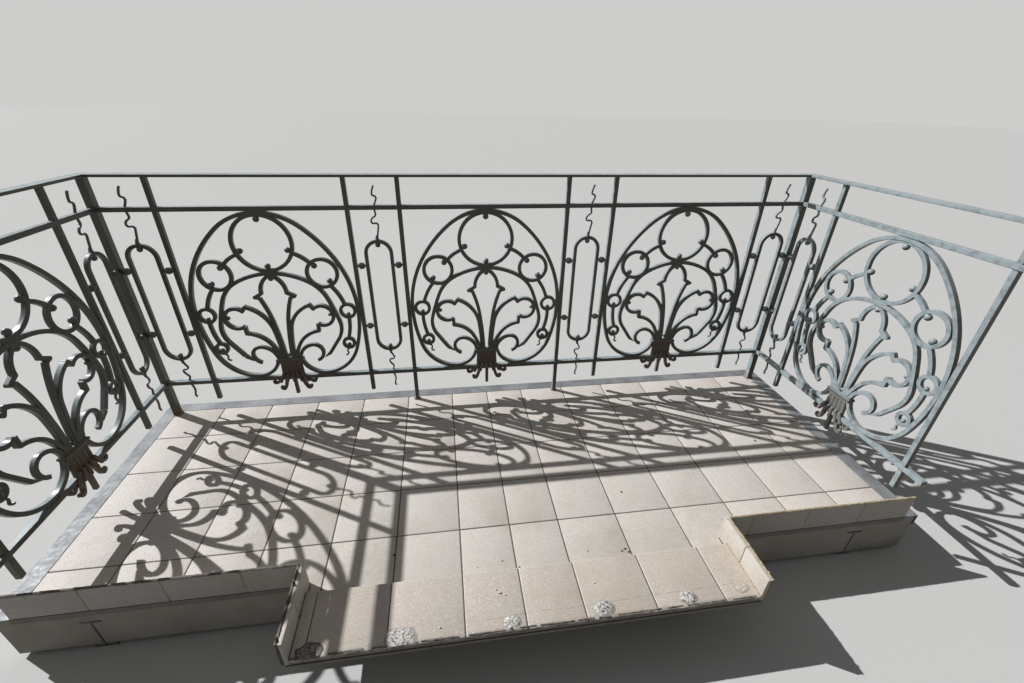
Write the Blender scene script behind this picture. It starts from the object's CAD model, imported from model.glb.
import math
import random

import bmesh
import bpy
from mathutils import Matrix, Vector, noise


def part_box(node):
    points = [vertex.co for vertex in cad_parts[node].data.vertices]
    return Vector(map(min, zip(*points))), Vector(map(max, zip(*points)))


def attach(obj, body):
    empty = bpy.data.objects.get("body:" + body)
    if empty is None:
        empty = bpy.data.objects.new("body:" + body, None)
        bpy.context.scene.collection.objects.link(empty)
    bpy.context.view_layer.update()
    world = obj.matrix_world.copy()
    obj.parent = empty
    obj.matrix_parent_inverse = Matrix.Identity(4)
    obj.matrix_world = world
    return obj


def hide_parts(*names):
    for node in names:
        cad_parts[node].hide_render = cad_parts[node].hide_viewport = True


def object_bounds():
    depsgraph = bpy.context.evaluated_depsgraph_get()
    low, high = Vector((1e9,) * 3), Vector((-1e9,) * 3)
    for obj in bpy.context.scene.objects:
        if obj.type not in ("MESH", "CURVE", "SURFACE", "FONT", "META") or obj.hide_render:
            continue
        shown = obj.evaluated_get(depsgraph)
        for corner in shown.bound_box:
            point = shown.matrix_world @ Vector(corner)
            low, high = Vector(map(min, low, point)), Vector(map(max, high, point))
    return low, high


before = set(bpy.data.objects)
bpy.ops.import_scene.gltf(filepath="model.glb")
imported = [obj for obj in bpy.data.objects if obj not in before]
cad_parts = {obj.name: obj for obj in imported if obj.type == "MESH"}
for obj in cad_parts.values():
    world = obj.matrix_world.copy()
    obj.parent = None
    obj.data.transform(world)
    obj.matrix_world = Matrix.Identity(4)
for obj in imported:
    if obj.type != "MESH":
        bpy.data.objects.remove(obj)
cadLow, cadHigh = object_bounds()
print("frame loaded:", len(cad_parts), "nodes")

stageScene = bpy.context.scene
stageScene.view_settings.view_transform = "Standard"

# camera, found from the joints of the tiles and the bars of the railing
cameraSettings = {
    "place": (-0.1678, -0.8935, 1.3158),
    "forward": (0.13561, 0.86143, -0.48944),
    "roll": 1.362,
    "lens": 16.133,
    "sensor": 36,
    "shiftY": 0.013,
    "clipStart": 0.02,
    "clipEnd": 120,
}


def addCamera():
    shot = cameraSettings
    data = bpy.data.cameras.new("camera")
    data.sensor_width = shot["sensor"]
    data.lens = shot["lens"]
    data.shift_y = shot["shiftY"]
    data.clip_start = shot["clipStart"]
    data.clip_end = shot["clipEnd"]
    made = bpy.data.objects.new("camera", data)
    stageScene.collection.objects.link(made)
    forward = Vector(shot["forward"]).normalized()
    right = forward.cross(Vector((0, 0, 1))).normalized()
    up = right.cross(forward)
    roll = math.radians(shot["roll"])
    tiltRight = right * math.cos(roll) + up * math.sin(roll)
    tiltUp = up * math.cos(roll) - right * math.sin(roll)
    columns = (tiltRight, tiltUp, -forward, shot["place"])
    made.matrix_world = Matrix([[c[row] for c in columns] for row in range(3)] + [[0, 0, 0, 1]])
    stageScene.camera = made


addCamera()
print("camera set")


def feed(tree, socket, value):
    # a socket takes a link from another node or a plain value
    if isinstance(value, bpy.types.NodeSocket):
        tree.links.new(value, socket)
    else:
        socket.default_value = value


def feedAll(tree, node, inputs):
    for key, value in inputs.items():
        feed(tree, node.inputs[key], value)


def addNode(tree, kind, settings=None, inputs=None):
    made = tree.nodes.new(kind)
    for key, value in (settings or {}).items():
        setattr(made, key, value)
    feedAll(tree, made, inputs or {})
    return made


def calc(tree, operation, first, second):
    made = addNode(tree, "ShaderNodeMath", {"operation": operation}, {0: first, 1: second})
    return made.outputs[0]


def times(tree, first, second):
    return calc(tree, "MULTIPLY", first, second)


def plus(tree, first, second):
    return calc(tree, "ADD", first, second)


def remap(tree, value, low, high, toLow=0.0, toHigh=1.0):
    return addNode(tree, "ShaderNodeMapRange", {"interpolation_type": "SMOOTHSTEP"}, {
        "Value": value, "From Min": low, "From Max": high,
        "To Min": toLow, "To Max": toHigh}).outputs[0]


def noiseAt(tree, vector, scale, detail=3.0, roughness=0.55, output="Fac"):
    return addNode(tree, "ShaderNodeTexNoise", inputs={
        "Vector": vector, "Scale": scale, "Detail": detail, "Roughness": roughness}).outputs[output]


def mixColor(tree, factor, first, second, blend="MIX"):
    made = addNode(tree, "ShaderNodeMix", {"data_type": "RGBA", "blend_type": blend}, {0: factor})
    for key, value in ((6, first), (7, second)):
        plain = not isinstance(value, bpy.types.NodeSocket)
        feed(tree, made.inputs[key], (*value, 1) if plain else value)
    return made.outputs[2]


def partOf(tree, vector, axis):
    return addNode(tree, "ShaderNodeSeparateXYZ", inputs={"Vector": vector}).outputs[axis]


def scaleAndShift(tree, vector, scale, shift):
    return addNode(tree, "ShaderNodeVectorMath", {"operation": "MULTIPLY_ADD"},
                   {0: vector, 1: scale, 2: shift}).outputs[0]


def dotOf(tree, first, second):
    return addNode(tree, "ShaderNodeVectorMath", {"operation": "DOT_PRODUCT"},
                   {0: first, 1: second}).outputs["Value"]


def seenRays(tree):
    # 1 for what the camera or a reflection sees, 0 for light on its way to the object
    path = addNode(tree, "ShaderNodeLightPath")
    return calc(tree, "MAXIMUM", path.outputs["Is Camera Ray"], path.outputs["Is Glossy Ray"])


# key light along the photographed shadows, and soft fill from above the outer side
lightSettings = {
    "keyTravel": (1.01, -0.59, -1.0),
    "keyStrength": 3.86,
    "keyAngle": 0.5,
    "worldStrength": 0.125,
    "backdropColor": (0.615, 0.615, 0.605),
    "fillPower": 11,
    "fillPlace": (-1.5, 2.6, 4.2),
    "fillAim": (0, 0.4, 0.3),
    "fillSize": 5.0,
}


def addLamp(name, kind, power, travel):
    data = bpy.data.lights.new(name, kind)
    data.energy = power
    made = bpy.data.objects.new(name, data)
    made.rotation_mode = "QUATERNION"
    made.rotation_quaternion = Vector(travel).to_track_quat("-Z", "Y")
    stageScene.collection.objects.link(made)
    return made


def addLights():
    key = addLamp("keyLight", "SUN", lightSettings["keyStrength"], lightSettings["keyTravel"])
    key.data.angle = math.radians(lightSettings["keyAngle"])
    travel = Vector(lightSettings["fillAim"]) - Vector(lightSettings["fillPlace"])
    fill = addLamp("fillLight", "AREA", lightSettings["fillPower"], travel)
    fill.location = lightSettings["fillPlace"]
    fill.data.shape = "DISK"
    fill.data.size = lightSettings["fillSize"]


def addWorld():
    world = bpy.data.worlds.new("studio")
    stageScene.world = world
    world.use_nodes = True
    tree = world.node_tree
    tree.nodes.clear()
    soft = addNode(tree, "ShaderNodeBackground", inputs={
        "Color": (1, 1, 1, 1), "Strength": lightSettings["worldStrength"]})
    plain = addNode(tree, "ShaderNodeBackground", inputs={
        "Color": (*lightSettings["backdropColor"], 1)})
    mixed = addNode(tree, "ShaderNodeMixShader", inputs={
        0: seenRays(tree), 1: soft.outputs[0], 2: plain.outputs[0]})
    addNode(tree, "ShaderNodeOutputWorld", inputs={"Surface": mixed.outputs[0]})


addLights()
addWorld()
print("light set")


def startMaterial(name):
    mat = bpy.data.materials.new(name)
    mat.use_nodes = True
    tree = mat.node_tree
    tree.nodes.clear()
    shader = addNode(tree, "ShaderNodeBsdfPrincipled")
    addNode(tree, "ShaderNodeOutputMaterial", inputs={"Surface": shader.outputs[0]})
    return mat, tree, shader


def startGroup(name, inputs, outputs):
    group = bpy.data.node_groups.new(name, "ShaderNodeTree")
    for side, sockets in (("INPUT", inputs), ("OUTPUT", outputs)):
        for label, kind in sockets.items():
            group.interface.new_socket(name=label, in_out=side, socket_type="NodeSocket" + kind)
    source = group.nodes.new("NodeGroupInput")
    return group, *[source.outputs[label] for label in inputs]


def finishGroup(group, results):
    addNode(group, "NodeGroupOutput", inputs=results)
    return group


def placeGroup(tree, group, inputs):
    return addNode(tree, "ShaderNodeGroup", {"node_tree": group}, inputs).outputs


# in all finishes a noise is scale, detail, roughness, and a range is from, to and what they become
edgeSettings = {"samples": 6, "bend": (1.0, 0.86)}


def makeEdgeMask():
    # how far the surface bends away within a few millimetres, and the rounded normal itself
    group, radius = startGroup(
        "edgeMask", {"Radius": "Float"}, {"Edge": "Float", "Round": "Vector"})
    rounded = addNode(group, "ShaderNodeBevel", {"samples": edgeSettings["samples"]},
                      {"Radius": radius}).outputs[0]
    flat = addNode(group, "ShaderNodeNewGeometry").outputs["Normal"]
    edge = remap(group, dotOf(group, rounded, flat), *edgeSettings["bend"])
    return finishGroup(group, {"Edge": edge, "Round": rounded})


weatherSettings = {
    "facing": (0.16, 0.66),
    "patches": (38.0, 4.0, 0.6),
    "patchy": (0.28, 0.6, 0.55, 1.0),
}


def makeWeatherSide():
    # faces that sun and dust reach, told by which way the surface looks
    group, normal, toward, place = startGroup("weatherSide", {
        "Normal": "Vector", "Toward": "Vector", "Place": "Vector"}, {"Mask": "Float"})
    facing = remap(group, dotOf(group, normal, toward), *weatherSettings["facing"])
    patches = noiseAt(group, place, *weatherSettings["patches"])
    mask = times(group, facing, remap(group, patches, *weatherSettings["patchy"]))
    return finishGroup(group, {"Mask": mask})


wearSettings = {
    "broad": (9.0, 4.0),
    "coat": (55.0, 5.0, 0.6),
    "fine": (420.0, 3.0),
    "pits": (130.0, 4.0, 0.65),
    "thinRange": (0.3, 0.7),
    "thinShare": 0.45,
    "chipRange": (0.42, 0.66),
    "chipShare": 0.7,
    "pitShare": 0.35,
    "coatShare": 0.5,
    "rustRange": (0.62, 0.86),
    "paleRust": (0.16, 0.092, 0.052),
    "roughness": (0.3, 0.7, 0.30, 0.46),
    "rustRoughness": 0.4,
    "coatHeight": 0.6,
    "fineHeight": 0.12,
    "rustDepth": 0.3,
}


def makePaintWear():
    # paint with thick and thin brush coats, chips on the edges and rust that bleeds through
    wear = wearSettings
    group, place, paint, thin, rust, edge, rusty = startGroup(
        "paintWear", {"Place": "Vector", "Paint": "Color", "Thin": "Color", "Rust": "Color",
                      "Edge": "Float", "Rusty": "Float"},
        {"Color": "Color", "Roughness": "Float", "Height": "Float"})
    broad, coat, fine, pits = [
        noiseAt(group, place, *wear[kind]) for kind in ("broad", "coat", "fine", "pits")]
    color = mixColor(group, remap(group, broad, *wear["thinRange"]), paint, thin)
    color = mixColor(group, wear["thinShare"], paint, color)
    chips = times(group, edge, remap(group, coat, *wear["chipRange"]))
    color = mixColor(group, times(group, chips, wear["chipShare"]), color, thin)
    wanted = plus(group, rusty, times(group, pits, wear["pitShare"]))
    wanted = plus(group, wanted, times(group, coat, wear["coatShare"]))
    rusted = remap(group, wanted, *wear["rustRange"])
    color = mixColor(group, rusted, color, mixColor(group, fine, rust, wear["paleRust"]))
    rough = remap(group, coat, *wear["roughness"])
    rough = plus(group, rough, times(group, rusted, wear["rustRoughness"]))
    height = plus(group, times(group, coat, wear["coatHeight"]),
                  times(group, fine, wear["fineHeight"]))
    height = calc(group, "SUBTRACT", height, times(group, rusted, wear["rustDepth"]))
    return finishGroup(group, {"Color": color, "Roughness": rough, "Height": height})


speckleSettings = {
    "first": (2.0, 0.6),  # detail and roughness, the scale comes with the tile
    "second": (2.0, 0.7),
    "secondScale": 0.63,
    "mottle": (210.0, 3.0, 0.75),
    "cloud": (14.0, 3.0),
    "cloudDark": (0.3, 0.75, 0.0, 0.11),
    "mottleDark": (0.5, 0.70, 0.0, 0.40),
    "mottlePale": (0.5, 0.30, 0.0, 0.55),
    "darkGrains": (0.56, 0.72, 0.0, 0.75),
    "paleGrains": (0.56, 0.72, 0.0, 0.6),
}


def makeStoneSpeckle():
    # fine dark and pale grains of unglazed stoneware, with a cloudy ground
    speckle = speckleSettings
    group, place, ground, dark, pale, grain = startGroup(
        "stoneSpeckle", {"Place": "Vector", "Ground": "Color", "Dark": "Color", "Pale": "Color",
                         "Grain": "Float"}, {"Color": "Color", "Height": "Float"})
    first = noiseAt(group, place, grain, *speckle["first"])
    second = noiseAt(group, place, times(group, grain, speckle["secondScale"]), *speckle["second"])
    mottle = noiseAt(group, place, *speckle["mottle"])
    cloud = noiseAt(group, place, *speckle["cloud"])
    color = ground
    for source, key, tint in ((cloud, "cloudDark", dark), (mottle, "mottleDark", dark),
                              (mottle, "mottlePale", pale), (first, "darkGrains", dark),
                              (second, "paleGrains", pale)):
        color = mixColor(group, remap(group, source, *speckle[key]), color, tint)
    return finishGroup(group, {"Color": color, "Height": first})


grimeSettings = {
    "broad": (4.0, 0.6),  # detail and roughness, the scale comes with the material
    "small": (4.0, 0.7),
    "smallScale": 7.3,
    "broadShare": 0.7,
    "smallShare": 0.3,
    "range": (0.45, 0.68),
}


def makeGrime():
    # soft stains at two scales
    stain = grimeSettings
    group, place, size, amount = startGroup(
        "grime", {"Place": "Vector", "Size": "Float", "Amount": "Float"}, {"Mask": "Float"})
    broad = noiseAt(group, place, size, *stain["broad"])
    small = noiseAt(group, place, times(group, size, stain["smallScale"]),
                    *stain["small"])
    both = plus(group, times(group, broad, stain["broadShare"]),
                times(group, small, stain["smallShare"]))
    mask = times(group, remap(group, both, *stain["range"]), amount)
    return finishGroup(group, {"Mask": mask})


lineSettings = {
    "wander": (24.0, 3.0),
    "wanderMiddle": 0.5,
    "wanderReach": 0.014,
    "breaks": (60.0, 2.0),
    "broken": (0.38, 0.56),
}


def makeLineMask():
    # a thin wavering line from one point to another, seen from above
    group, place, startX, endX, startY, slope, half = startGroup(
        "lineMask", {"Place": "Vector", "StartX": "Float", "EndX": "Float", "StartY": "Float",
                     "Slope": "Float", "Half": "Float"}, {"Mask": "Float"})
    x, y = partOf(group, place, "X"), partOf(group, place, "Y")
    wander = noiseAt(group, place, *lineSettings["wander"])
    wander = calc(group, "SUBTRACT", wander, lineSettings["wanderMiddle"])
    wander = times(group, wander, lineSettings["wanderReach"])
    line = plus(group, startY, times(group, calc(group, "SUBTRACT", x, startX), slope))
    off = calc(group, "SUBTRACT", plus(group, y, wander), line)
    off = calc(group, "ABSOLUTE", off, 0.0)
    within = times(group, calc(group, "GREATER_THAN", x, startX), calc(group, "LESS_THAN", x, endX))
    mask = times(group, remap(group, off, half, 0.0), within)
    broken = remap(group, noiseAt(group, place, *lineSettings["breaks"]), *lineSettings["broken"])
    return finishGroup(group, {"Mask": times(group, mask, broken)})


edgeMask = makeEdgeMask()
weatherSide = makeWeatherSide()
paintWear = makePaintWear()
stoneSpeckle = makeStoneSpeckle()
grime = makeGrime()
lineMask = makeLineMask()


def objectPlace(tree):
    return addNode(tree, "ShaderNodeTexCoord").outputs["Object"]


def finishShader(tree, shader, settings, color, rough, height, depth, normal=None):
    # colour, roughness and bump vary over the surface, the even values are the same all over
    bump = {"Height": height, "Distance": depth, "Strength": 1.0}
    if normal is not None:
        bump["Normal"] = normal
    bumped = addNode(tree, "ShaderNodeBump", inputs=bump).outputs[0]
    feedAll(tree, shader, {
        "Base Color": color, "Roughness": rough, "Normal": bumped, **settings["even"]})


ironSettings = {
    "paint": (0.062, 0.059, 0.042, 1),
    "thin": (0.118, 0.122, 0.102, 1),
    "bleached": (0.385, 0.462, 0.498),
    "rust": (0.082, 0.048, 0.027, 1),
    "toward": (-0.72, 0.05, 0.68),
    "rounding": 0.0030,
    "bump": 0.0005,
    "even": {"Specular IOR Level": 0.28, "Coat Weight": 0.22, "Coat Roughness": 0.2},
}

# rust grows from its base by as much as spread, between the heights high and low
ironFinishes = {
    "ironPaint": {"low": 0.09, "high": 0.20, "spread": 0.42, "base": 0.0, "bleach": 0.86},
    "collarPaint": {"low": 0.16, "high": 0.42, "spread": 0.06, "base": 0.29, "bleach": 0.36},
    "joistPaint": {"low": -0.09, "high": -0.05, "spread": 0.2, "base": 0.1, "bleach": 0.86},
}


def makePaintedIron(name):
    iron = ironSettings
    finish = ironFinishes[name]
    mat, tree, shader = startMaterial(name)
    place = objectPlace(tree)
    edges = placeGroup(tree, edgeMask, {"Radius": iron["rounding"]})
    rusty = remap(tree, partOf(tree, place, "Z"), finish["high"], finish["low"], 0.0,
                  finish["spread"])
    wear = placeGroup(tree, paintWear, {
        "Place": place, "Paint": iron["paint"], "Thin": iron["thin"],
        "Rust": iron["rust"], "Edge": edges["Edge"],
        "Rusty": plus(tree, rusty, finish["base"])})
    sunny = placeGroup(tree, weatherSide, {
        "Normal": edges["Round"], "Toward": iron["toward"], "Place": place})
    bleach = times(tree, sunny["Mask"], finish["bleach"])
    color = mixColor(tree, bleach, wear["Color"], iron["bleached"])
    finishShader(tree, shader, iron, color, wear["Roughness"], wear["Height"], iron["bump"],
                 edges["Round"])
    return mat


ironPaint = makePaintedIron("ironPaint")
collarPaint = makePaintedIron("collarPaint")
joistPaint = makePaintedIron("joistPaint")

tileSettings = {
    "dark": (0.400, 0.345, 0.305, 1),
    "pale": (0.860, 0.845, 0.820, 1),
    "stain": (0.46, 0.39, 0.31),
    "grain": 430.0,
    "grainShift": (3.1, 4.7, 1.9),
    "tones": ((0.955, 0.948, 0.944), (1.0, 1.0, 1.0)),
    "dirtSize": 5.0,
    "wornPale": (0.90, 0.89, 0.87),
    "edgeDirt": (0.20, 0.165, 0.13),
    "edgeReach": 0.016,
    "edgeShare": 0.8,
    "edgePatches": (34.0, 4.0, 0.65),
    "edgePatchy": (0.36, 0.6),
    "filmPatches": (9.0, 3.0),
    "filmPatchy": (0.3, 0.7, 0.5, 1.0),
    "lineDirt": (0.24, 0.19, 0.145),
    "roughness": (0.3, 0.7, 0.52, 0.68),
    "even": {"Specular IOR Level": 0.35},
    "bump": 0.00025,
    "joint": 0.0036,
    "jointDepth": 0.0014,
}

# a line is start x, end x, start y, slope, half width, strength
tileFinishes = {
    "deckTileStone": {
        "ground": (0.710, 0.664, 0.617, 1), "dirt": 0.34, "rounding": 0.004,
        "film": (0.26, -0.04, 0.0, 0.15)},
    "stepTileStone": {
        "ground": (0.615, 0.550, 0.482, 1), "dirt": 0.42, "rounding": 0.005,
        "nosing": 0.75, "edgeY": -0.215,
        "lines": ((-0.130, 0.655, -0.176, 0.014, 0.0016, 0.62),
                  (-0.500, -0.410, -0.190, 0.09, 0.0014, 0.70),
                  (-0.330, -0.200, -0.171, 0.05, 0.0012, 0.40))},
    "skirtTileStone": {"ground": (0.700, 0.653, 0.588, 1), "dirt": 0.30, "rounding": 0.004},
}


def makeTileStone(name):
    tile = tileSettings
    finish = tileFinishes[name]
    mat, tree, shader = startMaterial(name)
    place = objectPlace(tree)
    tone = addNode(tree, "ShaderNodeAttribute", {"attribute_name": "tileTone"}).outputs
    speck = placeGroup(tree, stoneSpeckle, {
        "Place": scaleAndShift(tree, tone["Color"], tile["grainShift"], place),
        "Ground": finish["ground"], "Dark": tile["dark"], "Pale": tile["pale"],
        "Grain": tile["grain"]})
    tint = mixColor(tree, tone["Fac"], *tile["tones"])
    color = mixColor(tree, 1.0, speck["Color"], tint, "MULTIPLY")
    dirt = placeGroup(tree, grime, {
        "Place": place, "Size": tile["dirtSize"], "Amount": finish["dirt"]})
    color = mixColor(tree, dirt["Mask"], color, tile["stain"])
    edges = placeGroup(tree, edgeMask, {"Radius": finish["rounding"]})
    if "nosing" in finish:
        worn = times(tree, edges["Edge"], finish["nosing"])
        color = mixColor(tree, worn, color, tile["wornPale"])
    if "edgeY" in finish:
        # dirt gathers towards the inner edge
        near = remap(tree, partOf(tree, place, "Y"), finish["edgeY"] + tile["edgeReach"],
                     finish["edgeY"], 0.0, tile["edgeShare"])
        patches = noiseAt(tree, place, *tile["edgePatches"])
        gathered = times(tree, near, remap(tree, patches, *tile["edgePatchy"]))
        color = mixColor(tree, gathered, color, tile["edgeDirt"])
    if "film" in finish:
        # a faint warm film towards the threshold
        patches = noiseAt(tree, place, *tile["filmPatches"])
        film = times(tree, remap(tree, patches, *tile["filmPatchy"]),
                     remap(tree, partOf(tree, place, "Y"), *finish["film"]))
        color = mixColor(tree, film, color, tile["stain"])
    for startX, endX, startY, slope, half, strength in finish.get("lines", ()):
        mark = placeGroup(tree, lineMask, {
            "Place": place, "StartX": startX, "EndX": endX, "StartY": startY,
            "Slope": slope, "Half": half})
        dark = times(tree, mark["Mask"], strength)
        color = mixColor(tree, dark, color, tile["lineDirt"])
    rough = remap(tree, speck["Height"], *tile["roughness"])
    finishShader(tree, shader, tile, color, rough, speck["Height"], tile["bump"], edges["Round"])
    return mat


deckTileStone = makeTileStone("deckTileStone")
stepTileStone = makeTileStone("stepTileStone")
skirtTileStone = makeTileStone("skirtTileStone")

mortarSettings = {
    "lumps": (5.0, 0.7),  # detail and roughness, the scale is the mortar's size
    "lumpRange": (0.36, 0.62),
    "sand": (2.0, 0.6),
    "sandScale": 5,
    "sandShare": 0.35,
    "dirtSize": 20.0,
    "dirtAmount": 0.5,
    "crackBend": (70.0, 3.0),
    "crackReach": (0.012, 0.012, 0.012),
    "crackScale": 78.0,
    "crackWidth": (0.075, 0.015),
    "crackFrom": 0.62,
    "crackColor": (0.07, 0.06, 0.05),
    "cracked": {"patchMortar": 0.50},
    "sides": {"bedMortar": (0.43, 0.40, 0.35)},
    "upright": (0.6, 0.2),
    "streakShare": 0.6,
    "streakLumps": (0.62, 0.40, 0.0, 0.45),
    "rimShare": 0.85,
    "roughness": (0.3, 0.7, 0.82, 0.95),
    "even": {"Specular IOR Level": 0.2},
    "sandHeight": 0.3,
}

# base colour, dark colour, size of the lumps, depth of the bump
mortarFinishes = {
    "jointMortar": ((0.155, 0.130, 0.108), (0.065, 0.054, 0.045), 260.0, 0.0006),
    "bedMortar": ((0.215, 0.183, 0.153), (0.095, 0.080, 0.067), 260.0, 0.0006),
    "patchMortar": ((0.90, 0.89, 0.86), (0.42, 0.395, 0.355), 130.0, 0.0020),
    "darkPatchMortar": ((0.46, 0.43, 0.385), (0.12, 0.10, 0.085), 130.0, 0.0022),
    "palePatchMortar": ((0.70, 0.655, 0.585), (0.40, 0.35, 0.29), 130.0, 0.0012),
    "creamMortar": ((0.66, 0.55, 0.37), (0.33, 0.27, 0.19), 120.0, 0.0020),
    "greyMortar": ((0.30, 0.28, 0.25), (0.11, 0.10, 0.09), 120.0, 0.0020),
    "crumbMortar": ((0.90, 0.89, 0.86), (0.62, 0.58, 0.52), 300.0, 0.0006),
    "footMortar": ((0.36, 0.33, 0.29), (0.17, 0.15, 0.125), 90.0, 0.0020),
}


def makeMortar(name):
    mortar = mortarSettings
    base, dark, size, depth = mortarFinishes[name]
    mat, tree, shader = startMaterial(name)
    place = objectPlace(tree)
    lumps = noiseAt(tree, place, size, *mortar["lumps"])
    sand = noiseAt(tree, place, size * mortar["sandScale"], *mortar["sand"])
    dirt = placeGroup(tree, grime, {
        "Place": place, "Size": mortar["dirtSize"], "Amount": mortar["dirtAmount"]})["Mask"]
    color = mixColor(tree, remap(tree, lumps, *mortar["lumpRange"]), dark, base)
    color = mixColor(tree, times(tree, sand, mortar["sandShare"]), color, dark)
    color = mixColor(tree, dirt, color, dark)
    if name in mortar["cracked"]:
        bend = noiseAt(tree, place, *mortar["crackBend"], output="Color")
        cells = addNode(tree, "ShaderNodeTexVoronoi", {"feature": "DISTANCE_TO_EDGE"}, {
            "Vector": scaleAndShift(tree, bend, mortar["crackReach"], place),
            "Scale": mortar["crackScale"]})
        split = remap(tree, cells.outputs["Distance"], *mortar["crackWidth"])
        split = times(tree, split, remap(tree, lumps, mortar["crackFrom"], mortar["cracked"][name]))
        color = mixColor(tree, split, color, mortar["crackColor"])
    if name in mortar["sides"]:
        # the joints are dark, the upright faces of the bed are pale lime mortar
        facing = addNode(tree, "ShaderNodeNewGeometry").outputs["Normal"]
        upright = remap(tree, partOf(tree, facing, "Z"), *mortar["upright"])
        streaks = times(tree, dirt, mortar["streakShare"])
        streaked = mixColor(tree, streaks, mortar["sides"][name], dark)
        streaked = mixColor(tree, remap(tree, lumps, *mortar["streakLumps"]), streaked, base)
        color = mixColor(tree, upright, color, streaked)
    rim = addNode(tree, "ShaderNodeAttribute", {"attribute_name": "rimTone"}).outputs["Fac"]
    color = mixColor(tree, times(tree, rim, mortar["rimShare"]), color, dark)
    rough = remap(tree, sand, *mortar["roughness"])
    height = plus(tree, lumps, times(tree, sand, mortar["sandHeight"]))
    finishShader(tree, shader, mortar, color, rough, height, depth)
    return mat


mortars = {name: makeMortar(name) for name in mortarFinishes}

zincSettings = {
    "base": (0.290, 0.302, 0.315),
    "dull": (0.185, 0.194, 0.206),
    "white": (0.43, 0.445, 0.46),
    "cloud": (11.0, 5.0, 0.62),
    "cloudRange": (0.35, 0.65),
    "streakStretch": (90.0, 6.0, 6.0),
    "streaks": (1.0, 3.0),
    "streakRange": (0.5, 0.8, 0.0, 0.3),
    "bloom": (60.0, 5.0, 0.7),
    "bloomRange": (0.55, 0.78, 0.0, 0.42),
    "roughness": (0.3, 0.7, 0.56, 0.74),
    "even": {"Metallic": 0.42},
    "rounding": 0.0012,
    "cloudHeight": 3.0,
    "bump": 0.0006,
}


def makeZinc():
    zinc = zincSettings
    mat, tree, shader = startMaterial("zincSheet")
    place = objectPlace(tree)
    cloud = noiseAt(tree, place, *zinc["cloud"])
    stretched = addNode(tree, "ShaderNodeMapping", inputs={
        "Vector": place, "Scale": zinc["streakStretch"]}).outputs[0]
    streaks = noiseAt(tree, stretched, *zinc["streaks"])
    bloom = noiseAt(tree, place, *zinc["bloom"])
    color = mixColor(tree, remap(tree, cloud, *zinc["cloudRange"]), zinc["dull"], zinc["base"])
    color = mixColor(tree, remap(tree, bloom, *zinc["bloomRange"]), color, zinc["white"])
    color = mixColor(tree, remap(tree, streaks, *zinc["streakRange"]), color, zinc["dull"])
    rough = remap(tree, bloom, *zinc["roughness"])
    edges = placeGroup(tree, edgeMask, {"Radius": zinc["rounding"]})
    height = plus(tree, times(tree, cloud, zinc["cloudHeight"]), streaks)
    finishShader(tree, shader, zinc, color, rough, height, zinc["bump"], edges["Round"])
    return mat


limeSettings = {
    "dull": (0.52, 0.48, 0.41),
    "base": (0.60, 0.57, 0.50),
    "sandColor": (0.34, 0.31, 0.27),
    "dampColor": (0.21, 0.19, 0.16),
    "sand": (330.0, 4.0, 0.6),
    "sandShare": 0.25,
    "trowel": (16.0, 4.0, 0.5),
    "trowelRange": (0.3, 0.7),
    "dirtSize": 4.0,
    "dirtAmount": 0.6,
    "damp": (0.02, -0.06, 0.35, 1.0),
    "roughness": (0.3, 0.7, 0.86, 0.96),
    "even": {"Specular IOR Level": 0.2},
    "rounding": 0.005,
    "trowelHeight": 3.0,
    "bump": 0.0011,
}


def makeLimeRender():
    lime = limeSettings
    mat, tree, shader = startMaterial("limeRender")
    place = objectPlace(tree)
    sand = noiseAt(tree, place, *lime["sand"])
    trowel = noiseAt(tree, place, *lime["trowel"])
    dirt = placeGroup(tree, grime, {
        "Place": place, "Size": lime["dirtSize"], "Amount": lime["dirtAmount"]})
    color = mixColor(tree, remap(tree, trowel, *lime["trowelRange"]), lime["dull"], lime["base"])
    color = mixColor(tree, times(tree, sand, lime["sandShare"]), color, lime["sandColor"])
    damp = times(tree, dirt["Mask"], remap(tree, partOf(tree, place, "Z"), *lime["damp"]))
    color = mixColor(tree, damp, color, lime["dampColor"])
    rough = remap(tree, sand, *lime["roughness"])
    edges = placeGroup(tree, edgeMask, {"Radius": lime["rounding"]})
    height = plus(tree, times(tree, trowel, lime["trowelHeight"]), sand)
    finishShader(tree, shader, lime, color, rough, height, lime["bump"], edges["Round"])
    return mat


zincSheet = makeZinc()
limeRender = makeLimeRender()
print("materials ready")

# which finish each carried node gets, by the first word of its name
ironWords = ("handrail", "upper", "lower", "corner", "bar", "bars", "link", "rosette")
nodeFinishes = {
    **dict.fromkeys(ironWords, ironPaint),
    "collar": collarPaint, "joist": joistPaint, "slab": limeRender, "flashing": zincSheet,
}
for nodeName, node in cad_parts.items():
    finish = nodeFinishes.get(nodeName.split("_")[0])
    if finish is not None:
        node.data.materials.clear()
        node.data.materials.append(finish)
print("carried nodes dressed")

sharpAngle = math.radians(48)
noiseStarts = (0, 50)


def startPiece(layerName):
    bm = bmesh.new()
    return bm, bm.loops.layers.color.new(layerName)


def linkMesh(name, bm):
    mesh = bpy.data.meshes.new(name)
    bm.to_mesh(mesh)
    bm.free()
    made = bpy.data.objects.new(name, mesh)
    stageScene.collection.objects.link(made)
    return made, mesh


def finishPiece(name, bm, material, smooth=True):
    made, mesh = linkMesh(name, bm)
    mesh.materials.append(material)
    for face in mesh.polygons:
        face.use_smooth = smooth
    if smooth:
        mesh.set_sharp_from_angle(angle=sharpAngle)
    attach(made, "root")
    return made


def addBox(bm, low, high):
    low, high = Vector(low), Vector(high)
    size, middle = high - low, (high + low) / 2
    verts = bmesh.ops.create_cube(bm, size=1.0)["verts"]
    for v in verts:
        v.co = Vector((v.co.x * size.x, v.co.y * size.y, v.co.z * size.z)) + middle
    return verts, size, middle


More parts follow.
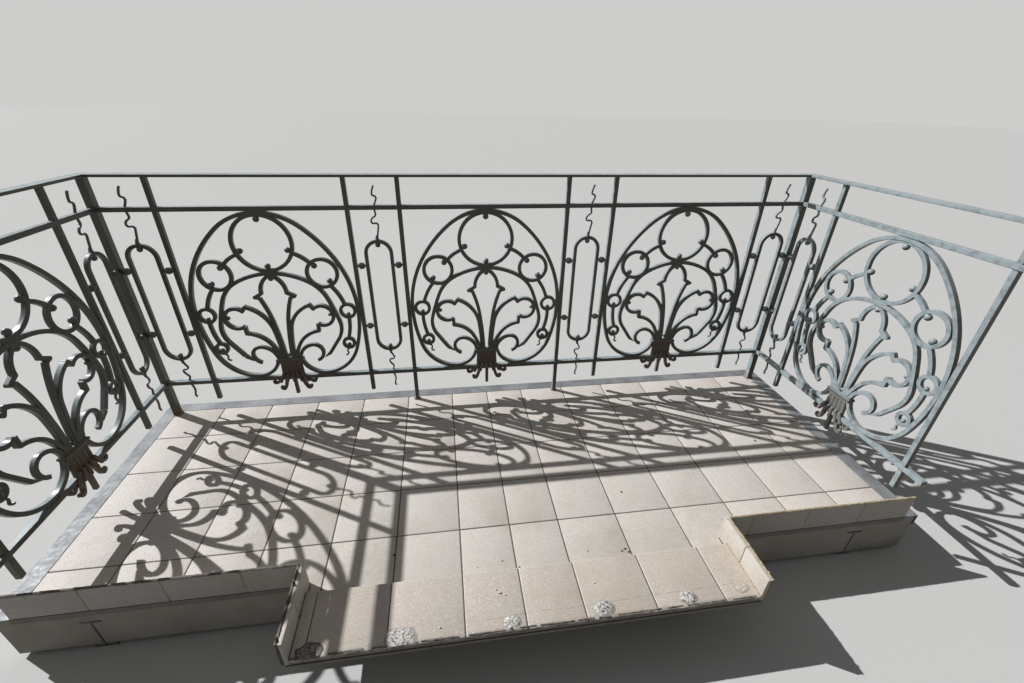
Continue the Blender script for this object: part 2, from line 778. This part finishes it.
def roundEdges(bm, verts, rounding, segments=1, profile=0.5):
    # one segment is a plain bevel
    edges = list({e for v in verts for e in v.link_edges})
    bmesh.ops.bevel(bm, geom=edges, offset=rounding, segments=segments, profile=profile,
                    affect="EDGES")


layingSettings = {"segments": 2, "profile": 0.6, "toneSteps": (7.3, 3.7)}


def addTile(bm, toneLayer, low, high, rng, form, tone=None):
    # one tile with rounded edges, lying a hair out of level as laid tiles do
    before = set(bm.faces)
    verts, size, middle = addBox(bm, low, high)
    sway = form["sway"]
    tilt = (rng.uniform(-sway, sway), rng.uniform(-sway, sway))
    for v in verts:
        if v.co.z > middle.z:
            v.co.z -= sway
            v.co.z += ((v.co.x - middle.x) / size.x * tilt[0]
                       + (v.co.y - middle.y) / size.y * tilt[1])
    roundEdges(bm, verts, form["rounding"], layingSettings["segments"], layingSettings["profile"])
    if tone is None:
        tone = rng.random()
    others = [(tone * step) % 1.0 for step in layingSettings["toneSteps"]]
    for face in bm.faces:
        if face not in before:
            for loop in face.loops:
                loop[toneLayer] = (tone, *others, 1.0)


def spansBetween(low, high, joints, shortest=0.004):
    inner = [j for j in joints if low + shortest < j < high - shortest]
    marks = [low] + inner + [high]
    return list(zip(marks[:-1], marks[1:]))


deckSettings = {
    "columnJoints": (-1.163, -0.963, -0.763, -0.563, -0.363, -0.163, 0.0,
                     0.163, 0.363, 0.563, 0.763, 0.963, 1.163),
    "rowJoints": (-0.035, 0.14, 0.34, 0.54, 0.74),
    "thick": 0.009,
    "rounding": 0.0012,
    "sway": 0.0003,
    "bedRounding": 0.0006,
    "tongueSide": 0.01,
    "tongueThick": 0.012,
    "tongueLap": 0.001,
    "seed": 4,
}

bedLow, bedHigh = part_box("tile_bed")
stepLow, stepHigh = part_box("threshold")
deckTop = bedHigh.z
gap = tileSettings["joint"] / 2


def makeDeckTiles():
    rng = random.Random(deckSettings["seed"])
    bm, toneLayer = startPiece("tileTone")
    bottom = deckTop - deckSettings["thick"]
    rows = spansBetween(0.0, bedHigh.y, deckSettings["rowJoints"])
    for x0, x1 in spansBetween(bedLow.x, bedHigh.x, deckSettings["columnJoints"]):
        for y0, y1 in rows:
            # the first row runs on over the tongue, as far as the riser of the threshold
            tone = rng.random()
            firstRow = y0 == rows[0][0]
            onTongue = firstRow and x0 > stepLow.x and x1 < stepHigh.x
            low = (x0 + gap, (stepHigh.y if onTongue else y0) + gap, bottom)
            high = (x1 - gap, y1 - gap, deckTop)
            addTile(bm, toneLayer, low, high, rng, deckSettings, tone)
            if firstRow and not onTongue and x1 > stepLow.x and x0 < stepHigh.x:
                low = (max(x0, stepLow.x) + gap, stepHigh.y + gap, bottom)
                high = (min(x1, stepHigh.x) - gap, gap * 2, deckTop)
                addTile(bm, toneLayer, low, high, rng, deckSettings, tone)
    return finishPiece("deckTiles", bm, deckTileStone)


def makeBed():
    # mortar bed that shows in the joints, with the tongue that runs on under the threshold
    bm = bmesh.new()
    top = deckTop - tileSettings["jointDepth"]
    side = deckSettings["tongueSide"]
    for low, high in (((bedLow.x, 0.0, bedLow.z), (bedHigh.x, bedHigh.y, top)),
                      ((stepLow.x - side, bedLow.y, deckTop - deckSettings["tongueThick"]),
                       (stepHigh.x + side, deckSettings["tongueLap"], top))):
        roundEdges(bm, addBox(bm, low, high)[0], deckSettings["bedRounding"])
    return finishPiece("mortarBed", bm, mortars["bedMortar"], smooth=False)


deckTiles = makeDeckTiles()
mortarBed = makeBed()
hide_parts("tile_bed")
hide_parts("tile_bed")
print("deck laid")

stepSettings = {
    "thick": 0.010,
    "gapShare": 0.75,
    "rounding": 0.0022,
    "sway": 0.0003,
    "seed": 11,
    "bedFront": 0.002,
    "bedBack": 0.0015,
    "bedTop": 0.0016,
    "bedRounding": 0.0008,
}


def makeThreshold():
    rng = random.Random(stepSettings["seed"])
    bm, toneLayer = startPiece("tileTone")
    narrow = gap * stepSettings["gapShare"]
    bottom = stepHigh.z - stepSettings["thick"]
    for x0, x1 in spansBetween(stepLow.x, stepHigh.x, deckSettings["columnJoints"]):
        low, high = (x0 + narrow, stepLow.y, bottom), (x1 - narrow, stepHigh.y, stepHigh.z)
        addTile(bm, toneLayer, low, high, rng, stepSettings)
    return finishPiece("thresholdTiles", bm, stepTileStone)


def makeThresholdBed():
    bed = stepSettings
    bm = bmesh.new()
    low = (stepLow.x, stepLow.y + bed["bedFront"], stepLow.z)
    high = (stepHigh.x, stepHigh.y - bed["bedBack"], stepHigh.z - bed["bedTop"])
    roundEdges(bm, addBox(bm, low, high)[0], bed["bedRounding"])
    return finishPiece("thresholdBed", bm, mortars["bedMortar"], smooth=False)


thresholdTiles = makeThreshold()
thresholdBed = makeThresholdBed()
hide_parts("threshold")
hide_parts("threshold")
print("threshold laid")

skirtSettings = {
    "thick": 0.010,
    "topGap": 0.004,
    "backGap": 0.0005,
    "cornerGap": 0.4,
    "cornerJoints": (-0.105,),
    "rounding": 0.0012,
    "sway": 0.0002,
    "seeds": {"left": 21, "right": 22},
}


def endsOf(side, low, high):
    # which way the side lies, where it meets the threshold and where it ends
    return (-1, stepLow.x, low.x) if side == "left" else (1, stepHigh.x, high.x)


def makeSkirting(side):
    node = "skirting_" + side
    low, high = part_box(node)
    sign, inner, outer = endsOf(side, low, high)
    skirt = skirtSettings
    rng = random.Random(skirt["seeds"][side])
    bm, toneLayer = startPiece("tileTone")
    top = high.z - skirt["topGap"]
    for x0, x1 in spansBetween(*sorted((outer, inner)), deckSettings["columnJoints"]):
        addTile(bm, toneLayer, (x0 + gap, skirt["backGap"], low.z), (x1 - gap, skirt["thick"], top),
                rng, skirt)
    x0, x1 = sorted((inner, inner + sign * skirt["thick"]))
    for y0, y1 in spansBetween(low.y, 0.0, skirt["cornerJoints"]):
        addTile(bm, toneLayer, (x0, y0 + gap, low.z), (x1, y1 - gap * skirt["cornerGap"], top),
                rng, skirt)
    made = finishPiece("skirtingTiles_" + side, bm, skirtTileStone)
    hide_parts(node)


makeSkirting("left")
makeSkirting("right")
print("skirtings set")

lumpSettings = {
    "coarseWaves": 1.2,
    "fineWaves": 3.4,
    "fineSeed": 9,
    "fineShare": 0.55,
    "rimHeight": 0.12,
    "crownHeight": 0.88,
    "shoulder": 0.38,
    "bumps": 110,
    "bumpShare": 0.30,
    "thinnest": 0.04,
    "sink": 0.0004,
}


def addLump(bm, rimLayer, rng, centre, radii, height, form, floorY=None):
    # a ragged lump of mortar: a thin rim, a steep shoulder and an uneven crown
    lump, around, rings = lumpSettings, form["around"], form["rings"]
    coarse, fine, small = lump["coarseWaves"], lump["fineWaves"], lump["bumps"]
    seed = rng.uniform(*noiseStarts)
    base = []
    for i in range(around):
        a = 2 * math.pi * i / around
        wave = noise.noise(Vector((math.cos(a) * coarse, math.sin(a) * coarse, seed)))
        wave += lump["fineShare"] * noise.noise(
            Vector((math.cos(a) * fine, math.sin(a) * fine, seed + lump["fineSeed"])))
        base.append((math.cos(a), math.sin(a), 1 + form["ragged"] * wave))
    loops = []
    for j in range(rings + 1):
        t = j / (rings + 1)
        rise = lump["rimHeight"]
        if t >= form["rimShare"]:
            climb = min(1.0, (t - form["rimShare"]) / lump["shoulder"])
            rise += lump["crownHeight"] * math.sin(climb * math.pi / 2)
        loop = []
        for ca, sa, reach in base:
            x = centre[0] + ca * reach * radii[0] * (1 - t)
            y = centre[1] + sa * reach * radii[1] * (1 - t)
            bump = noise.noise(Vector((x * small, y * small, seed))) * lump["bumpShare"]
            z = centre[2] + height * max(lump["thinnest"], rise * (1 + bump)) if j \
                else centre[2] - lump["sink"]
            loop.append(bm.verts.new((x, y if floorY is None else max(y, floorY), z)))
        loops.append(loop)
    crownY = centre[1] if floorY is None else max(centre[1], floorY)
    crown = bm.verts.new((centre[0], crownY, centre[2] + height))
    made = [bm.faces.new(loops[0][::-1])]
    for lower, upper in zip(loops[:-1], loops[1:]):
        for i in range(around):
            n = (i + 1) % around
            made.append(bm.faces.new((lower[i], lower[n], upper[n], upper[i])))
    for i in range(around):
        made.append(bm.faces.new((loops[-1][i], loops[-1][(i + 1) % around], crown)))
    rimVerts = set(loops[0]) | set(loops[1])
    for face in made:
        for loop in face.loops:
            tone = form["rimTone"] if loop.vert in rimVerts else 0.0
            loop[rimLayer] = (tone, tone, tone, 1.0)


ridgeSettings = {
    "profile": ((-1.0, 0.0), (-0.8, 0.55), (-0.3, 0.95), (0.3, 1.0), (0.8, 0.6), (1.0, 0.0)),
    "widthWaves": 45,
    "crownWaves": 70,
    "crownSeed": 7,
    "roughWaves": 160,
    "roughStep": 3.1,
    "roughShare": 0.3,
    "sink": 0.0003,
}


def addRidge(bm, rimLayer, rng, start, end, half, height, step, ragged):
    # a hand-drawn bead of mortar from start to end, with an uneven width and crown
    ridge = ridgeSettings
    wide, tall, rough = ridge["widthWaves"], ridge["crownWaves"], ridge["roughWaves"]
    seed = rng.uniform(*noiseStarts)
    start, end = Vector(start), Vector(end)
    count = max(2, int((end - start).length / step))
    side = (end - start).normalized().cross(Vector((0, 0, 1)))
    rows = []
    for i in range(count + 1):
        place = start.lerp(end, i / count)
        wave = noise.noise(Vector((place.x * wide, place.y * wide, seed)))
        width = half * (1 + ragged * wave)
        wave = noise.noise(Vector((place.x * tall, place.y * tall, seed + ridge["crownSeed"])))
        crown = height * (1 + ragged * wave)
        row = []
        for k, (u, h) in enumerate(ridge["profile"]):
            along = place * rough + Vector((k * ridge["roughStep"], 0, seed))
            skin = 1 + ridge["roughShare"] * noise.noise(along)
            lift = Vector((0, 0, max(-ridge["sink"], h * crown * skin)))
            row.append(bm.verts.new(place + side * u * width * skin + lift))
        rows.append(row)
    made = []
    for first, second in zip(rows[:-1], rows[1:]):
        for k in range(len(first) - 1):
            made.append(bm.faces.new((first[k], second[k], second[k + 1], first[k + 1])))
        made.append(bm.faces.new((first[0], first[-1], second[-1], second[0])))
    made += [bm.faces.new(rows[0]), bm.faces.new(rows[-1][::-1])]
    for face in made:
        for loop in face.loops:
            loop[rimLayer] = (0.0, 0.0, 0.0, 1.0)


# mortar patches in the threshold, left by old fixings: x, y, half sizes, height
patchSettings = {
    "form": {"around": 34, "rings": 8, "ragged": 0.24, "rimShare": 0.16, "rimTone": 1.0},
    "white": {
        "mortar": "patchMortar", "seed": 36,
        "places": ((-0.330, -0.197, 0.046, 0.034, 0.0040),
                   (-0.041, -0.196, 0.0275, 0.0245, 0.0046),
                   (0.214, -0.189, 0.032, 0.0265, 0.0046),
                   (0.459, -0.1885, 0.029, 0.0225, 0.0046))},
    "dark": {
        "mortar": "darkPatchMortar", "seed": 35,
        "places": ((-0.549, -0.203, 0.034, 0.026, 0.0030),)},
    "pale": {
        "mortar": "palePatchMortar", "seed": 35,
        "places": ((0.628, -0.181, 0.023, 0.016, 0.0022),)},
}


def makePatches(label):
    patch = patchSettings[label]
    rng = random.Random(patch["seed"])
    bm, rimLayer = startPiece("rimTone")
    for x, y, rx, ry, height in patch["places"]:
        addLump(bm, rimLayer, rng, (x, y, stepHigh.z), (rx, ry), height, patchSettings["form"],
                stepLow.y)
    finishPiece(label + "Patches", bm, mortars[patch["mortar"]])


makePatches("white")
makePatches("dark")
makePatches("pale")
print("patches laid")

edgeMortarSettings = {
    "seed": 41,
    "start": 0.004,
    "last": 0.03,
    "length": (0.03, 0.13),
    "inset": (0.0037, 0.0056),
    "wander": (-0.001, 0.001),
    "sink": 0.0014,
    "half": 0.0029,
    "height": (0.0022, 0.0040),
    "breaks": (0.002, 0.03),
    "step": 0.004,
    "ragged": 0.55,
}


def makeRoomEdge():
    # broken mortar along the inner edge of the threshold
    edge = edgeMortarSettings
    rng = random.Random(edge["seed"])
    bm, rimLayer = startPiece("rimTone")
    z = stepHigh.z - edge["sink"]
    x = stepLow.x + edge["start"]
    while x < stepHigh.x - edge["last"]:
        end = min(x + rng.uniform(*edge["length"]), stepHigh.x - edge["start"])
        y = stepLow.y + rng.uniform(*edge["inset"])
        endY = y + rng.uniform(*edge["wander"])
        height = rng.uniform(*edge["height"])
        addRidge(bm, rimLayer, rng, (x, y, z), (end, endY, z), edge["half"], height,
                 edge["step"], edge["ragged"])
        x = end + rng.uniform(*edge["breaks"])
    finishPiece("roomEdgeMortar", bm, mortars["greyMortar"])


makeRoomEdge()

# a bead is half width, height, step, raggedness; the height of the backing follows the skirting
beadSettings = {
    "seeds": {"left": 51, "right": 52},
    "mortar": {"left": "greyMortar", "right": "creamMortar"},
    "top": 0.0042,
    "cornerLap": 0.012,
    "endGap": 0.002,
    "beadY": 0.0052,
    "bead": (0.0042, 0.0030, 0.008, 0.3),
    "backing": 0.0145,
    "backingEndY": 0.004,
    "capSink": 0.004,
    "cap": (0.0050, 0.0056, 0.007, 0.3),
    "backingHalf": 0.0046,
    "backingSink": 0.003,
    "backingLift": 0.001,
    "backingRough": (0.012, 0.05),
    "footInset": 0.0008,
    "footStart": 0.004,
    "foot": (0.0022, 0.0012, 0.008, 0.5),
}


def makeSkirtingMortar(side):
    # bead over the tiles, the rough bed behind the short run and a fillet on the threshold
    bead = beadSettings
    low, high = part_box("skirting_" + side)
    sign, inner, outer = endsOf(side, low, high)
    rng = random.Random(bead["seeds"][side])
    bm, rimLayer = startPiece("rimTone")
    top = high.z - bead["top"]
    x0, x1 = sorted((outer, inner + sign * bead["cornerLap"]))
    backX, footX = inner + sign * bead["backing"], inner - sign * bead["footInset"]
    y0, y1 = low.y + bead["endGap"], bead["backingEndY"]
    capZ, backZ, footZ = top - bead["capSink"], low.z + bead["backingLift"], stepHigh.z
    backHeight = top - bead["backingSink"] - low.z
    for start, end, form in (
            ((x0 + bead["endGap"], bead["beadY"], top), (x1, bead["beadY"], top), bead["bead"]),
            ((backX, y0, capZ), (backX, y1, capZ), bead["cap"]),
            ((backX, y0, backZ), (backX, y1, backZ),
             (bead["backingHalf"], backHeight, *bead["backingRough"])),
            ((footX, stepLow.y + bead["footStart"], footZ), (footX, stepHigh.y, footZ),
             bead["foot"])):
        addRidge(bm, rimLayer, rng, start, end, *form)
    finishPiece("skirtingMortar_" + side, bm, mortars[bead["mortar"][side]])


makeSkirtingMortar("left")
makeSkirtingMortar("right")
print("mortar beads drawn")

footSettings = {
    "seed": 61,
    "reach": {"corner_post_left": 0.022, "bar_front_3": 0.0155, "bar_front_4": 0.0155,
              "corner_post_right": 0.022},
    "height": 0.0042,
    "form": {"around": 24, "rings": 5, "ragged": 0.3, "rimShare": 0.05, "rimTone": 0.3},
}


def makeFootMortar():
    # the feet of the posts and of the two long bars are bedded in lumps of mortar
    rng = random.Random(footSettings["seed"])
    bm, rimLayer = startPiece("rimTone")
    for node, reach in footSettings["reach"].items():
        low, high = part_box(node)
        middle = (low + high) / 2
        addLump(bm, rimLayer, rng, (middle.x, middle.y, deckTop), (reach, reach),
                footSettings["height"], footSettings["form"])
    finishPiece("footMortar", bm, mortars["footMortar"])


makeFootMortar()

# crumbs of mortar and grit: x, y, radius
crumbSettings = {
    "form": {"around": 9, "rings": 3, "ragged": 0.5, "rimShare": 0.05, "rimTone": 0.0},
    "flatness": (0.6, 0.9),
    "height": 0.9,
    "dark": {
        "mortar": "jointMortar", "seed": 75,
        "places": ((0.419, 0.232, 0.0040), (0.347, 0.001, 0.0045), (0.356, -0.011, 0.0038),
                   (0.335, -0.005, 0.0034), (-0.367, 0.071, 0.0040), (1.077, 0.436, 0.0045),
                   (0.824, 0.423, 0.0042), (-0.041, 0.008, 0.0026), (0.007, -0.019, 0.0026),
                   (0.229, 0.009, 0.0026))},
    "white": {
        "mortar": "crumbMortar", "seed": 76,
        "places": ((-0.229, -0.182, 0.0040), (-0.062, -0.107, 0.0046), (-0.072, -0.096, 0.0030),
                   (-0.049, -0.114, 0.0034), (0.209, -0.112, 0.0030), (-0.118, -0.004, 0.0028))},
}


def makeCrumbs(label):
    crumbs = crumbSettings[label]
    rng = random.Random(crumbs["seed"])
    bm, rimLayer = startPiece("rimTone")
    for x, y, radius in crumbs["places"]:
        top = stepHigh.z if y < stepHigh.y else deckTop
        radii = (radius, radius * rng.uniform(*crumbSettings["flatness"]))
        addLump(bm, rimLayer, rng, (x, y, top), radii, radius * crumbSettings["height"],
                crumbSettings["form"])
    finishPiece(label + "Crumbs", bm, mortars[crumbs["mortar"]])


makeCrumbs("dark")
makeCrumbs("white")
print("feet bedded, crumbs strewn")

seamSettings = {
    "seed": 81,
    "innerGap": 0.0015,
    "outerGap": 0.004,
    "bead": (0.0032, 0.0008, 0.004, 0.3),
}


def makeZincSeams():
    # the sheets are mitred at the outer corners and soldered there
    seam = seamSettings
    rng = random.Random(seam["seed"])
    bm, rimLayer = startPiece("rimTone")
    low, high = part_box("flashing")
    for sign in (-1, 1):
        start = (sign * (bedHigh.x + seam["innerGap"]), bedHigh.y + seam["innerGap"], high.z)
        end = (sign * (high.x - seam["outerGap"]), high.y - seam["outerGap"], high.z)
        addRidge(bm, rimLayer, rng, start, end, *seam["bead"])
    finishPiece("zincSeams", bm, zincSheet)


makeZincSeams()
print("seams soldered")

# the stems of a collar are forged together, with a flat fillet in each gap
filletSettings = {
    "seed": 91,
    "collars": ("front_1", "front_2", "front_3", "left", "right"),
    "gaps": (-1.5, -0.5, 0.5, 1.5),
    "spacing": 0.01715,
    "spread": 1.12,
    "lift": 0.0003,
    "rise": 0.0674,
    "half": 0.0043,
    "depth": 0.0073,
    "around": 12,
    "rings": 8,
    "dent": 0.08,
    "dentWaves": 0.7,
}


def addFillet(bm, foot, head, across, rng):
    # an oval rod from foot to head, with the uneven skin that the hammer leaves
    fillet, around = filletSettings, filletSettings["around"]
    seed = rng.uniform(*noiseStarts)
    deep = Vector((0, 0, 1)).cross(across)
    rings = []
    for j in range(fillet["rings"]):
        centre = foot.lerp(head, j / (fillet["rings"] - 1))
        ring = []
        for i in range(around):
            a = 2 * math.pi * i / around
            skin = Vector((math.cos(a), math.sin(a), seed + j * fillet["dentWaves"]))
            dent = 1 + fillet["dent"] * noise.noise(skin)
            ring.append(bm.verts.new(centre + across * math.cos(a) * fillet["half"] * dent
                                     + deep * math.sin(a) * fillet["depth"] * dent))
        rings.append(ring)
    for lower, upper in zip(rings[:-1], rings[1:]):
        for i in range(around):
            n = (i + 1) % around
            bm.faces.new((lower[i], lower[n], upper[n], upper[i]))
    bm.faces.new(rings[0][::-1])
    bm.faces.new(rings[-1])


def makeCollarFillets():
    fillet = filletSettings
    rng = random.Random(fillet["seed"])
    bm = bmesh.new()
    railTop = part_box("lower_rail_front")[1].z
    for place in fillet["collars"]:
        low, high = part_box("rosette_" + place)
        middle = (low + high) / 2
        across = Vector((1, 0, 0)) if place.startswith("front") else Vector((0, 1, 0))
        for share in fillet["gaps"]:
            foot = Vector((middle.x, middle.y, railTop + fillet["lift"]))
            head = Vector((middle.x, middle.y, railTop + fillet["rise"]))
            foot += across * share * fillet["spacing"] * fillet["spread"]
            head += across * share * fillet["spacing"]
            addFillet(bm, foot, head, across, rng)
    finishPiece("collarFillets", bm, collarPaint)


makeCollarFillets()
print("collars filled")

floorSettings = {
    "half": 45.0,
    "color": (0.63, 0.63, 0.62),
    "bounce": (0.20, 0.20, 0.20),
    "even": {"Roughness": 0.9, "Specular IOR Level": 0.1},
}


def makeFloor():
    bm = bmesh.new()
    bmesh.ops.create_grid(bm, x_segments=1, y_segments=1, size=floorSettings["half"])
    for v in bm.verts:
        v.co.z = cadLow.z
    made, mesh = linkMesh("floor", bm)
    mat, tree, shader = startMaterial("floorPaper")
    color = mixColor(tree, seenRays(tree), floorSettings["bounce"], floorSettings["color"])
    feedAll(tree, shader, {"Base Color": color, **floorSettings["even"]})
    mesh.materials.append(mat)


makeFloor()
print("floor laid")

print("sizes written")
